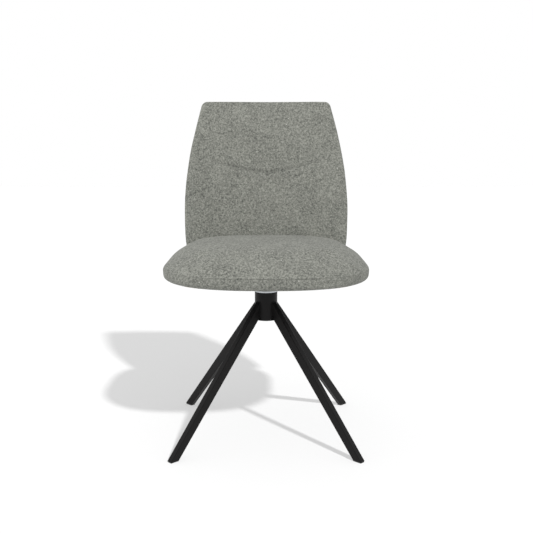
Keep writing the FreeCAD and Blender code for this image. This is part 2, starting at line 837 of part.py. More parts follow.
def bent_before(name, offset):
    """All that lies before a surface bent like the board and moved by an offset towards the rear."""
    cylinder = doc.addObject("Part::Cylinder", name)
    cylinder.Radius = bend + offset
    cylinder.Height = TALL
    cylinder.Placement = leaning.multiply(Placement(Vector(0, -bend, -TALL / 4), Rotation()))
    return cylinder


before_ply_rear = bent_before("BeforePlyRear", half_board)
ply = cut_away("BackPly", before_ply_rear, bent_before("BeforePlyFront", -half_board))
outline = doc.addObject("PartDesign::Body", "BackOutline")
corners = [
    ("-(back_board_half)", "back_board_bottom"),
    ("back_board_half", "back_board_bottom"),
    ("back_board_tip", "back_board_top"),
    ("-(back_board_tip)", "back_board_top"),
]
pad(outline, polygon(new_sketch(outline, "XZ_Plane"), corners), "8 * back_bow", centred=True)
round_edges(outline, "back_board_corner", lambda edge: along(edge, Vector(0, 1, 0)))
outline.Placement = leaning


def common(name, base, tool):
    """What two solids share."""
    both = doc.addObject("Part::Common", name)
    both.Base = base
    both.Tool = tool
    return both


back_blank = common("BackBlank", ply, outline)

# The back board is screwed to the brackets from behind, into inserts

BACK_SCREW_HEIGHTS = [size("back_screw_first") + k * size("back_screw_pitch") for k in range(2)]
back_spots = [(across * size("bracket_x"), height) for across in (1, -1) for height in BACK_SCREW_HEIGHTS]
rear_of_bracket = size("bracket_height") - size("bracket_seating")


def facing_front(x, depth, height):
    """A place in the back's leaning frame for something whose own Z points forwards."""
    return leaning.multiply(Placement(Vector(x, depth, height), Rotation(Vector(1, 0, 0), 90)))


def back_rod(name, radius, x, start, height):
    """A rod at one screw, from a depth in the leaning frame forwards through the back's face."""
    through = doc.addObject("Part::Cylinder", name)
    bind(through, Radius=radius, Height="2 * back_lumbar_thickness")
    through.Placement = facing_front(x, start, height)
    return through


group("back_bolts", [bolt(f"BackBolt{k}", "screw", "back_screw_reach",
                          facing_front(x, rear_of_bracket, height))
                     for k, (x, height) in enumerate(back_spots)])
group("back_inserts", [insert(f"BackInsert{k}", "screw", "back_insert_depth",
                              facing_front(x, -size("bracket_seating"), height))
                       for k, (x, height) in enumerate(back_spots)])


def back_rods(name, radius, start=size("back_lumbar_thickness")):
    """Rods at all the screws of the back. They run right through it when no start is given."""
    return [back_rod(f"{name}{k}", radius, x, start, height) for k, (x, height) in enumerate(back_spots)]


for side, body in bent_steel.items():
    drilled = cut_away(f"BackBracket{side}", body, *back_rods(f"Drill{side}", "screw_hole"))
    node(drilled, f"back_bracket_{side}")
insert_holes = back_rods("BackInsertHole", "screw_insert")
node(cut_away("BackBoard", back_blank, *bent_steel.values(), *insert_holes), "back_board")

# Cushions: foam round each board with its cloth cover, whose lip turns under the seat board

opening = seat_panel("LipOpening", size("seat_under_roll") + size("lip_width"), size("seat_bottom") - 1,
                     size("plate_level") - size("seat_bottom") + 1)


def slot(name, side, play, depths, levels):
    """A block as wide as one bracket and a little play at each side."""
    across = SIDES[side]
    widths = (f"{across} - bracket_width / 2 - {play}", f"{across} + bracket_width / 2 + {play}")
    return block(f"{name}{side}", widths, depths, levels)


under_board = ("plate_level - plate_depth", "plate_level")
notches = [slot("LipNotch", side, "2", ("seat_middle", "back_front"), under_board) for side in SIDES]
node(cut_away("SeatCushion", seat_solid, board_blank, opening, *notches), "seat_cushion")

dust_inset = size("seat_under_roll") + size("lip_width") - size("dust_overlap")
dust_blank = seat_panel("DustBlank", dust_inset, size("seat_bottom") - size("dust_height"),
                        size("dust_height"))
plate_hole = block("DustPlateHole", ("-plate_width / 2 - 2", "plate_width / 2 + 2"),
                   ("-plate_length / 2 - 2", "plate_length / 2 + 2"), under_board)
slots = [slot("DustNotch", side, "1", ("bracket_front - 2", "back_front"), under_board) for side in SIDES]
node(cut_away("DustCover", dust_blank, plate_hole, *slots), "dust_cover")

room_start = rear_of_bracket + size("screw_head_height") + 1
head_rooms = back_rods("HeadRoom", "screw_head + insert_play", room_start)
front_half = common("FrontHalf", back_solid, before_ply_rear)
node(cut_away("BackCushionFront", front_half, back_blank, *bent_steel.values()), "back_cushion_front")
node(cut_away("BackCushionRear", back_solid, before_ply_rear, *bent_steel.values(), *head_rooms),
     "back_cushion_rear")

# Check every object, then write one file for each sub-part

doc.recompute()
for thing in doc.Objects:
    if "Invalid" in thing.State or "Error" in thing.State:
        raise ValueError(f"{thing.Name} failed: {thing.State}")
for thing in nodes:
    if thing.Shape.isNull() or not thing.Shape.isValid():
        raise ValueError(f"{thing.Label} has no valid shape")
os.makedirs("parts", exist_ok=True)
for thing in nodes:
    thing.Shape.exportStep(f"parts/{thing.Label}.step")
    print(f"{thing.Label}: {len(thing.Shape.Solids)} solids, {thing.Shape.Volume / 1000:.1f} cm3")
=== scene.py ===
# Swivel dining chair: cushions in melange cloth, lining, weld beads, staples, finishes and the studio.
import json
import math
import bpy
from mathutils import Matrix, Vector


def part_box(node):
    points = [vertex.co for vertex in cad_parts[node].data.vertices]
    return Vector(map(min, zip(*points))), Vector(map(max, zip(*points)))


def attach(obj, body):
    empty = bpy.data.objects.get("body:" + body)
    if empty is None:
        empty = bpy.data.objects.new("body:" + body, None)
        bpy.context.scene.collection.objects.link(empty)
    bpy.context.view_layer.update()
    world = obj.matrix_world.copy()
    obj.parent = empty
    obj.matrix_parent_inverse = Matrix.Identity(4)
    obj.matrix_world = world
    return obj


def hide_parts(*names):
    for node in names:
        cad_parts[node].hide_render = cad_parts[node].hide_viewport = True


bl_info = {
    "name": "Swivel dining chair",
    "version": (1, 0, 0),
    "blender": (4, 5, 0),
    "location": "3D View > Sidebar > Chair",
    "description": "Cushions, covers, weld beads and finishes of an upholstered swivel chair",
    "category": "Add Mesh",
}

import bpy
from bpy.props import FloatProperty, FloatVectorProperty, IntProperty, PointerProperty
from mathutils import Vector, noise

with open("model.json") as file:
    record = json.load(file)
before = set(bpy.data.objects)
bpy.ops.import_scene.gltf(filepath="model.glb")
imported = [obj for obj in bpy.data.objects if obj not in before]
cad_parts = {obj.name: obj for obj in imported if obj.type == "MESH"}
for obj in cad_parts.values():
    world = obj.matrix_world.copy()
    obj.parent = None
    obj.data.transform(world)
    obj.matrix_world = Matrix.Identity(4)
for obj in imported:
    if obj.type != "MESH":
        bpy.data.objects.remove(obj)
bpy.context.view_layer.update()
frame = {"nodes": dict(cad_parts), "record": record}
MM = 0.001
SEAT_LOW, SEAT_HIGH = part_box("seat_cushion")
BACK_LOW, BACK_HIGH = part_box("back_cushion_rear")
BOARD_LOW, BOARD_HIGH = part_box("seat_board")
LINING_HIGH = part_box("dust_cover")[1]
PLATE_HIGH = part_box("swivel_plate")[1]
BRACKET_LOW, BRACKET_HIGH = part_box("back_bracket_right")
HUB_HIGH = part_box("hub_tube")[1]
# Length of a cushion's side, from which a cover takes its number of mesh lines
SIDE_LENGTH = 0.42


def linear(code):
    """The linear colour of an sRGB hex code, with full opacity."""
    parts = [int(code[k:k + 2], 16) / 255 for k in (1, 3, 5)]
    return [p / 12.92 if p <= 0.04045 else ((p + 0.055) / 1.055) ** 2.4 for p in parts] + [1.0]


def length(name, text, value, low=0.0):
    """A property that holds a length in metres."""
    return FloatProperty(name=name, description=text, default=value, min=low, subtype="DISTANCE",
                         unit="LENGTH")


def amount(name, text, value):
    """A property that holds a plain number."""
    return FloatProperty(name=name, description=text, default=value)


def colour(name, text, code):
    """A property that holds a colour."""
    return FloatVectorProperty(name=name, description=text, default=linear(code), size=4, min=0, max=1,
                               subtype="COLOR")


class SeatSettings(bpy.types.PropertyGroup):
    """Sizes of the seat cushion."""
    half_width: length("Half width", "Half the seat's width", SEAT_HIGH.x)
    middle: length("Middle", "Depth at which the seat is widest", -0.055, -1.0)
    widest: length("Widest level", "Height of the seat's widest line", 0.429)
    crown_power: amount("Crown power", "Fullness of the crown's profile", 2.6)
    front_power: amount("Front power", "Squareness of the front corners", 2.6)
    rear_power: amount("Rear power", "Squareness of the rear corners", 4.0)
    roll: length("Roll", "How far the edge turns under", 0.030)
    lip: length("Lip", "Width of the cover's lip under the board", 0.030)
    rise: length("Lip rise", "How far the cover's underside lies above its solid's", 0.0005)
    swell: length("Swell", "How far the cover's crown stands above its solid's", 0.0030)
    seam: length("Seam level", "Height of the seam round the seat", 0.4405)
    lift: length("Edge lift", "How far the lower edge rises towards the front corners", 0.0008)


class BackSettings(bpy.types.PropertyGroup):
    """Sizes of the back cushion."""
    half_width: length("Half width", "Half the back's greatest width, with 1.5 mm of ease",
                       BACK_HIGH.x + 0.0015)
    widest: length("Widest level", "Height at which the back is widest", 0.570)
    narrowing: length("Narrowing", "How much narrower each side is at the shoulder", 0.043)
    narrowing_power: amount("Narrowing power", "How late the sides draw in", 1.7)
    foot_narrowing: length("Foot narrowing", "How much narrower each side is at the foot", 0.0117)
    corner: length("Top corner", "Radius of the top corners", 0.021)
    reach: length("Reach", "How far the cover's top stands above its solid's", 0.0055)
    foot_corner: length("Foot corner", "Radius of the lower corners", 0.028)
    edge: length("Edge", "Depth of the rounding at the rim", 0.024)
    bow: length("Bow", "How far the sides come forward", 0.020)
    seam: length("Seam inset", "Distance of the front seam from the rim", 0.0045)
    crease: length("Crease depth", "Depth of the curved crease", 0.0022)


class ClothSettings(bpy.types.PropertyGroup):
    """How the covers are made and filled."""
    spacing: length("Mesh spacing", "Distance between the cover's mesh lines", 0.0065, 0.002)
    limit: length("Limit", "How far a point may move while the cover fills", 0.0045)
    pressure: amount("Pressure", "Pressure that fills the cover", 7.0)
    frames: IntProperty(name="Frames", description="Frames for which the cover fills", default=20, min=2)


class FinishSettings(bpy.types.PropertyGroup):
    """Colours of the finishes."""
    yarn_dark: colour("Dark yarn", "Darker yarn of the melange cloth", "#5a5c57")
    yarn_light: colour("Light yarn", "Lighter yarn of the melange cloth", "#aaaba2")
    coat: colour("Powder coat", "Colour of the coated steel", "#0c0b0b")
    key: amount("Key light", "Strength of the lamp that casts the shadow", 5.2)
    fill: amount("Fill light", "Strength of the light from all round", 0.8)
    ahead: amount("Front light", "How much more light comes from the front", 0.7)


# Node trees


def feed(tree, node, inputs):
    """Gives each input of a node its value or another node's output."""
    for name, value in inputs.items():
        if isinstance(value, bpy.types.NodeSocket):
            tree.links.new(value, node.inputs[name])
        else:
            node.inputs[name].default_value = value


def add(tree, kind, inputs=None, **settings):
    """Adds a node with its settings and inputs."""
    node = tree.nodes.new(kind)
    for name, value in settings.items():
        setattr(node, name, value)
    feed(tree, node, inputs or {})
    return node


def new_finish(name):
    """A material with its shader and the object's own coordinates."""
    material = bpy.data.materials.new(name)
    material.use_nodes = True
    tree = material.node_tree
    shader = tree.nodes["Principled BSDF"]
    place = add(tree, "ShaderNodeTexCoord")
    return material, tree, shader, place


def melange_cloth(finish):
    """Woven melange upholstery cloth: slubby yarns of two greys, matt, with a faint bloom of fibre ends."""
    material, tree, shader, place = new_finish("woven_melange_polyester")
    where = place.outputs["Object"]
    # Slubs along the yarns are 3 to 4 mm long and bunch over 6 mm, and the dye drifts over 55 mm.
    slub = add(tree, "ShaderNodeTexNoise", {"Vector": where, "Scale": 1 / (3.6 * MM), "Detail": 3.0,
                                            "Roughness": 0.7})
    bunch = add(tree, "ShaderNodeTexNoise", {"Vector": where, "Scale": 1 / (6 * MM), "Detail": 2.0})
    drift = add(tree, "ShaderNodeTexNoise", {"Vector": where, "Scale": 1 / (55 * MM), "Detail": 2.0})
    bunched = add(tree, "ShaderNodeMath", {0: bunch.outputs["Fac"], 1: 0.35, 2: slub.outputs["Fac"]},
                  operation="MULTIPLY_ADD")
    tone = add(tree, "ShaderNodeMath", {0: drift.outputs["Fac"], 1: 0.14, 2: bunched.outputs[0]},
               operation="MULTIPLY_ADD")
    blend = add(tree, "ShaderNodeMapRange", {"Value": tone.outputs[0], "From Min": 0.555, "From Max": 0.93})
    yarn = add(tree, "ShaderNodeMix", {0: blend.outputs[0], 6: finish.yarn_dark, 7: finish.yarn_light},
               data_type="RGBA")
    # Pale neps, about two millimetres across, sit a hand's width apart.
    nep = add(tree, "ShaderNodeTexVoronoi", {"Vector": where, "Scale": 1 / (40 * MM)})
    speck = add(tree, "ShaderNodeMapRange", {"Value": nep.outputs["Distance"], "From Min": 0.045,
                                             "From Max": 0.028, "To Max": 0.8})
    body = add(tree, "ShaderNodeMix", {0: speck.outputs[0], 6: yarn.outputs[2], 7: linear("#d9dad2")},
               data_type="RGBA")
    # Painted shade: the hollow of a seam or crease is painted darker, by the amount that the cover marks
    # there.
    painted_hollow_shade = add(tree, "ShaderNodeAttribute", attribute_name="painted_hollow_shade")
    shaded = add(tree, "ShaderNodeMix", {0: painted_hollow_shade.outputs["Fac"], 6: body.outputs[2], 7: linear("#4c4e49")},
                 data_type="RGBA")
    # The yarns cross every 2.2 mm; each axis fades where the cloth faces along it.
    turns = add(tree, "ShaderNodeVectorMath", {0: where, 1: [math.tau / (2.2 * MM)] * 3},
                operation="MULTIPLY")
    waver = add(tree, "ShaderNodeVectorMath", {0: slub.outputs["Color"], 1: [5.0] * 3, 2: turns.outputs[0]},
                operation="MULTIPLY_ADD")
    wave = add(tree, "ShaderNodeVectorMath", {0: waver.outputs[0]}, operation="SINE")
    facing = add(tree, "ShaderNodeVectorMath", {0: place.outputs["Normal"]}, operation="ABSOLUTE")
    across = add(tree, "ShaderNodeVectorMath", {0: [1.0] * 3, 1: facing.outputs[0]}, operation="SUBTRACT")
    weave = add(tree, "ShaderNodeVectorMath", {0: wave.outputs[0], 1: across.outputs[0]},
                operation="DOT_PRODUCT")
    height = add(tree, "ShaderNodeMath", {0: weave.outputs["Value"], 1: 0.22, 2: slub.outputs["Fac"]},
                 operation="MULTIPLY_ADD")
    bump = add(tree, "ShaderNodeBump", {"Height": height.outputs[0], "Strength": 0.55, "Distance": 0.9 * MM})
    feed(tree, shader, {"Base Color": shaded.outputs[2], "Normal": bump.outputs[0], "Roughness": 0.92,
                        "Specular IOR Level": 0.22, "Sheen Weight": 0.12, "Sheen Roughness": 0.5})
    return material


def powder_coat(finish):
    """Satin black polyester powder coat on steel: slight orange peel, a soft gloss."""
    material, tree, shader, place = new_finish("powder_coated_steel")
    where = place.outputs["Object"]
    cloud = add(tree, "ShaderNodeTexNoise", {"Vector": where, "Scale": 1 / (30 * MM), "Detail": 3.0})
    paler = [c * 1.5 for c in finish.coat[:3]] + [1.0]
    tint = add(tree, "ShaderNodeMix", {0: cloud.outputs["Fac"], 6: finish.coat, 7: paler}, data_type="RGBA")
    # Orange peel of a powder coat is 1 to 2 mm across.
    peel = add(tree, "ShaderNodeTexNoise", {"Vector": where, "Scale": 1 / (1.4 * MM), "Detail": 1.0})
    gloss = add(tree, "ShaderNodeMapRange", {"Value": peel.outputs["Fac"], "To Min": 0.36, "To Max": 0.5})
    bump = add(tree, "ShaderNodeBump", {"Height": peel.outputs["Fac"], "Strength": 0.25,
                                        "Distance": 0.08 * MM})
    feed(tree, shader, {"Base Color": tint.outputs[2], "Normal": bump.outputs[0],
                        "Roughness": gloss.outputs[0], "Specular IOR Level": 0.17})
    return material


def plain_metal(name, pale, dark, grain, low, high):
    """Bare or plated steel: a metal whose tone and gloss wander with the turning marks."""
    material, tree, shader, place = new_finish(name)
    where = add(tree, "ShaderNodeMapping", {"Vector": place.outputs["Object"], "Scale": (1.0, 1.0, 7.0)})
    marks = add(tree, "ShaderNodeTexNoise", {"Vector": where.outputs[0], "Scale": 1 / grain, "Detail": 4.0})
    tint = add(tree, "ShaderNodeMix", {0: marks.outputs["Fac"], 6: linear(dark), 7: linear(pale)},
               data_type="RGBA")
    gloss = add(tree, "ShaderNodeMapRange", {"Value": marks.outputs["Fac"], "To Min": low, "To Max": high})
    feed(tree, shader, {"Base Color": tint.outputs[2], "Roughness": gloss.outputs[0], "Metallic": 1.0})
    return material


def moulded_plastic(name, code, rough):
    """Moulded plastic: a fine even texture from the tool and a low gloss."""
    material, tree, shader, place = new_finish(name)
    grit = add(tree, "ShaderNodeTexNoise", {"Vector": place.outputs["Object"], "Scale": 1 / (0.9 * MM)})
    base = linear(code)
    paler = [min(1.0, c * 1.25) for c in base[:3]] + [1.0]
    tint = add(tree, "ShaderNodeMix", {0: grit.outputs["Fac"], 6: base, 7: paler}, data_type="RGBA")
    bump = add(tree, "ShaderNodeBump", {"Height": grit.outputs["Fac"], "Strength": 0.2,
                                        "Distance": 0.05 * MM})
    feed(tree, shader, {"Base Color": tint.outputs[2], "Normal": bump.outputs[0], "Roughness": rough})
    return material


def birch_ply():
    """Raw birch plywood: pale long grain on the faces, and plies 1.5 mm thick along the edge."""
    material, tree, shader, place = new_finish("birch_plywood")
    where = add(tree, "ShaderNodeMapping", {"Vector": place.outputs["Object"], "Scale": (1.0, 9.0, 9.0)})
    grain = add(tree, "ShaderNodeTexNoise", {"Vector": where.outputs[0], "Scale": 1 / (40 * MM),
                                             "Detail": 6.0})
    # At a scale of 1 the wave's bands lie 0.314 apart.
    plies = add(tree, "ShaderNodeTexWave", {"Vector": place.outputs["Object"], "Scale": 0.314 / (3 * MM)},
                bands_direction="Z")
    face = add(tree, "ShaderNodeMix", {0: grain.outputs["Fac"], 6: linear("#c79f6c"), 7: linear("#e2c592")},
               data_type="RGBA")
    edge = add(tree, "ShaderNodeMix", {0: plies.outputs["Fac"], 6: face.outputs[2], 7: linear("#a67c4e")},
               data_type="RGBA")
    feed(tree, shader, {"Base Color": edge.outputs[2], "Roughness": 0.7})
    return material


def lining_cloth():
    """Spun-bonded polypropylene lining: black, papery, with a grid of bonding dimples."""
    material, tree, shader, place = new_finish("spunbonded_lining")
    where = place.outputs["Object"]
    # Bonding points stand 3 mm apart, drawn twice as coarse as they are so that they show.
    dots = add(tree, "ShaderNodeTexVoronoi", {"Vector": where, "Scale": 1 / (3 * MM), "Randomness": 0.15})
    fibre = add(tree, "ShaderNodeTexNoise", {"Vector": where, "Scale": 1 / (1.5 * MM), "Detail": 3.0})
    tint = add(tree, "ShaderNodeMix", {0: fibre.outputs["Fac"], 6: linear("#101011"), 7: linear("#232324")},
               data_type="RGBA")
    bump = add(tree, "ShaderNodeBump", {"Height": dots.outputs["Distance"], "Strength": 0.5,
                                        "Distance": 0.3 * MM})
    feed(tree, shader, {"Base Color": tint.outputs[2], "Normal": bump.outputs[0], "Roughness": 0.85})
    return material


# Outlines and covers


def evenly(points, count):
    """Points spaced evenly along an open line, from its first point to just before its last."""
    reach = [0.0]
    for before, after in zip(points, points[1:]):
        reach.append(reach[-1] + (after - before).length)
    spaced = []
    k = 0
    for step in range(count):
        goal = reach[-1] * step / count
        while reach[k + 1] < goal:
            k += 1
        share = (goal - reach[k]) / (reach[k + 1] - reach[k])
        spaced.append(points[k].lerp(points[k + 1], share))
    return spaced


def patch(loop, per_side):
    """A square net of points stretched over a closed loop, by blending its four sides."""
    n = per_side
    size = 4 * n
    net = []
    for j in range(n + 1):
        row = []
        for i in range(n + 1):
            u, v = i / n, j / n
            low, high = loop[i], loop[3 * n - i]
            left, right = loop[(size - j) % size], loop[n + j]
            corners = (loop[0] * (1 - u) * (1 - v) + loop[n] * u * (1 - v)
                       + loop[2 * n] * u * v + loop[3 * n] * (1 - u) * v)
            row.append(low * (1 - v) + high * v + left * (1 - u) + right * u - corners)
        net.append(row)
    return net


def closed_cover(name, rings, per_side, first_cap, last_cap):
    """A closed mesh: rings of equal count, and a net of points over the first and the last ring."""
    n, count = per_side, 4 * per_side
    points = [point for ring in rings for point in ring]
    faces = []
    for r in range(len(rings) - 1):
        for k in range(count):
            after = (k + 1) % count
            faces.append(((r + 1) * count + k, (r + 1) * count + after, r * count + after, r * count + k))
    for ring, cap, is_last in ((0, first_cap, False), (len(rings) - 1, last_cap, True)):
        edge = [(i, 0) for i in range(n)] + [(n, j) for j in range(n)]
        edge += [(n - i, n) for i in range(n)] + [(0, n - j) for j in range(n)]
        numbers = {place: ring * count + k for k, place in enumerate(edge)}
        for j in range(1, n):
            for i in range(1, n):
                numbers[i, j] = len(points)
                points.append(cap[j][i])
        for j in range(n):
            for i in range(n):
                face = (numbers[i, j], numbers[i + 1, j], numbers[i + 1, j + 1], numbers[i, j + 1])
                faces.append(face[::-1] if is_last else face)
    mesh = bpy.data.meshes.new(name)
    mesh.from_pydata([tuple(p) for p in points], [], faces)
    mesh.validate()
    piece = bpy.data.objects.new(name, mesh)
    bpy.context.scene.collection.objects.link(piece)
    return piece


def fill(piece, held, cloth):
    """Lets a cover swell like filled cloth, with some points held and none moving past the limit."""
    group = piece.vertex_groups.new(name="Held")
    for weight, numbers in held.items():
        group.add(numbers, weight, "REPLACE")
    modifier = piece.modifiers.new("Filling", "CLOTH")
    settings = modifier.settings
    settings.quality = 4
    settings.mass = 0.3
    settings.tension_stiffness = 12
    settings.compression_stiffness = 12
    settings.bending_stiffness = 0.6
    settings.use_pressure = True
    settings.uniform_pressure_force = cloth.pressure
    settings.effector_weights.gravity = 0
    settings.vertex_group_mass = "Held"
    modifier.point_cache.frame_start = 1
    modifier.point_cache.frame_end = cloth.frames
    scene = bpy.context.scene
    for number in range(1, cloth.frames + 1):
        scene.frame_set(number)
    filled = piece.evaluated_get(bpy.context.evaluated_depsgraph_get()).to_mesh()
    places = [vertex.co.copy() for vertex in filled.vertices]
    piece.modifiers.remove(modifier)
    for vertex, place in zip(piece.data.vertices, places):
        move = place - vertex.co
        if move.length > cloth.limit:
            move *= cloth.limit / move.length
        vertex.co += move
    piece.vertex_groups.clear()
    scene.frame_set(1)


def bake(piece, modifier):
    """Turns a piece and its modifier into a plain smooth mesh."""
    evaluated = piece.evaluated_get(bpy.context.evaluated_depsgraph_get())
    mesh = bpy.data.meshes.new_from_object(evaluated)
    piece.modifiers.remove(modifier)
    piece.data = mesh
    mesh.shade_smooth()


def refine(piece):
    """Smooths a cover by subdivision."""
    modifier = piece.modifiers.new("Refine", "SUBSURF")
    modifier.levels = 1
    modifier.render_levels = 1
    bake(piece, modifier)


def dent(piece, depth_at):
    """Moves each point of a cover in along its normal, and marks how much painted shade its hollow gets
    there.
    """
    mesh = piece.data
    normals = [vertex.normal.copy() for vertex in mesh.vertices]
    painted_hollow_shade = mesh.attributes.new("painted_hollow_shade", "FLOAT", "POINT")
    for k, vertex in enumerate(mesh.vertices):
        depth, shade = depth_at(vertex.co, normals[k])
        vertex.co -= normals[k] * depth
        painted_hollow_shade.data[k].value = shade
    mesh.update()


def bell(value, middle, width):
    """A smooth bell, 1 at the middle."""
    return math.exp(-((value - middle) / width) ** 2)


def clamp(value, low=0.0):
    """The value, kept between a low end and 1."""
    return max(low, min(1.0, value))


def unevenness(place, pitch, start=0.0):
    """A smooth random height between -1 and 1, with so many waves to the metre."""
    return noise.noise(Vector((place.x * pitch, place.y * pitch + start, place.z * pitch)))


def points_of(kinds, wanted, count):
    """Numbers of the points that lie in the rings of one kind."""
    return [r * count + k for r, kind in enumerate(kinds) if kind == wanted for k in range(count)]


def plan_reach(seat, inset):
    """Half the width, and the reach to the front and to the rear, of the seat's plan moved in."""
    return (seat.half_width - inset, seat.middle - SEAT_LOW.y - inset, SEAT_HIGH.y - seat.middle - inset)


def plan_share(seat, inset, x, y):
    """How far a point is from the seat's middle, as a share of the plan's reach there."""
    half, front, rear = plan_reach(seat, inset)
    power, reach = (seat.rear_power, rear) if y > seat.middle else (seat.front_power, front)
    return (abs(x / half) ** power + abs((y - seat.middle) / reach) ** power) ** (1 / power)


def seat_plan(seat, inset, per_side):
    """The seat's plan about its middle, moved in: a rounded square with fuller corners behind."""
    half, front, rear = plan_reach(seat, inset)

    def point_at(turn):
        """The plan's point at an angle."""
        across, depth = math.cos(turn), math.sin(turn)
        power, reach = (seat.rear_power, rear) if depth > 0 else (seat.front_power, front)
        return Vector((half * math.copysign(abs(across) ** (2 / power), across),
                       reach * math.copysign(abs(depth) ** (2 / power), depth), 0.0))

    dense = 90
    loop = []
    for side in range(4):
        start = math.pi / 4 + side * math.pi / 2
        line = [point_at(start + math.pi / 2 * k / dense) for k in range(dense + 1)]
        loop += evenly(line, per_side)
    return loop


class CHAIR_OT_seat_cushion(bpy.types.Operator):
    """Makes the crowned seat cushion in its cover, with a seam round it and the lip turned under"""
    bl_idname = "chair.seat_cushion"
    bl_label = "Seat cushion"

    def execute(self, context):
        s = context.scene.chair_seat
        cloth = context.scene.chair_cloth
        above = SEAT_HIGH.z + s.swell - s.widest
        base = SEAT_LOW.z + s.rise
        below = s.widest - base
        per_side = round(SIDE_LENGTH / cloth.spacing)
        count = 4 * per_side
        rings, kinds = [], []

        def lay(inset, share, level, kind):
            """Adds a ring: the plan moved in, scaled by a share and set at a level."""
            rings.append([Vector((p.x * share, p.y * share + s.middle, level))
                          for p in seat_plan(s, inset, per_side)])
            kinds.append(kind)

        # The crown's side, from where it steepens down to the seam.
        steep, crown_rings = math.radians(38), 9
        seam_turn = math.asin(((s.seam - s.widest) / above) ** (s.crown_power / 2))
        for k in range(crown_rings):
            turn = steep + (seam_turn - steep) * k / crown_rings
            lay(0.0, math.cos(turn) ** (2 / s.crown_power),
                s.widest + above * math.sin(turn) ** (2 / s.crown_power), "cover")
        # The seam, with close lines on both sides of it.
        for offset in (0.0045, 0.002, 0.0008, 0.0, -0.0008, -0.002, -0.0045):
            rise = (s.seam + offset - s.widest) / above
            lay(0.0, (1 - rise ** s.crown_power) ** (1 / s.crown_power), s.seam + offset,
                "seam" if abs(offset) < 0.001 else "cover")
        # The edge, which turns under. Its inner part is stapled and stays where it is.
        roll_rings, loose_rings, roll_power = 7, 2, 0.83
        for k in range(1, roll_rings + 1):
            turn = math.pi / 2 * k / roll_rings
            lay(s.roll * (1 - math.cos(turn) ** roll_power), 1.0,
                s.widest - below * math.sin(turn) ** roll_power, "cover" if k <= loose_rings else "held")
        # The lip under the board, and the pocket that leaves the board its room.
        for share in (0.25, 0.5, 0.75, 1.0):
            lay(s.roll + s.lip * share, 1.0, base, "held")
        gap, edge_gap = 0.0003, 0.0004
        fold, top = BOARD_LOW.z - gap, BOARD_HIGH.z + gap
        inner, edge = s.roll + s.lip, SEAT_HIGH.x - BOARD_HIGH.x - edge_gap
        for share in (1.0, 0.66, 0.33, 0.0):
            lay(edge + (inner - edge) * share, 1.0, fold, "held")
        for level in ((fold + top) / 2, top):
            lay(edge, 1.0, level, "held")

        cap = patch([Vector((p.x, p.y, 0)) for p in rings[0]], per_side)
        for row in cap:
            for point in row:
                share = plan_share(s, 0.0, point.x, point.y)
                point.z = s.widest + above * max(0.0, 1 - share ** s.crown_power) ** (1 / s.crown_power)
        piece = closed_cover("seat_cover", rings, per_side, cap, patch(rings[-1], per_side))
        held = points_of(kinds, "held", count)
        held += range(len(rings) * count + (per_side - 1) ** 2, len(piece.data.vertices))
        fill(piece, {1.0: held, 0.7: points_of(kinds, "seam", count)}, cloth)
        refine(piece)

        over_board, sideways = 0.004, 0.3
        plain_half, fading, faint = 0.11, 0.06, 0.35
        valley_width, valley_depth, valley_shade = 0.0013, 0.0010, 0.4
        wave_height, waves = 0.0007, 14

        def depth_at(place, normal):
            """The seam's valley, faint at the corners and behind, with its painted shade, and slight
            unevenness above it.
            """
            if place.z <= BOARD_HIGH.z + over_board and normal.xy.length <= sideways:
                return 0.0, 0.0
            strength = 1 - (1 - faint) * clamp((abs(place.x) - plain_half) / fading) if place.y < 0 else faint
            valley = strength * bell(place.z, s.seam, valley_width)
            uneven = unevenness(place, waves) if place.z >= s.seam else 0.0
            return valley_depth * valley + wave_height * uneven, valley_shade * valley

        dent(piece, depth_at)
        lift_half, lift_start, lift_width = 0.19, 0.17, 0.05
        for vertex in piece.data.vertices:
            place = vertex.co
            if place.y < s.middle and place.z < s.widest:
                share = min(1.0, abs(place.x) / lift_half)
                near = clamp((Vector((place.x, place.y - s.middle)).length - lift_start) / lift_width)
                vertex.co.z += s.lift * share ** 2 * near * min(1.0, (s.widest - place.z) / below)
        piece.data.update()
        piece.data.materials.append(bpy.data.materials["woven_melange_polyester"])
        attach(piece, "seat")
        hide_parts("seat_cushion")
        return {"FINISHED"}


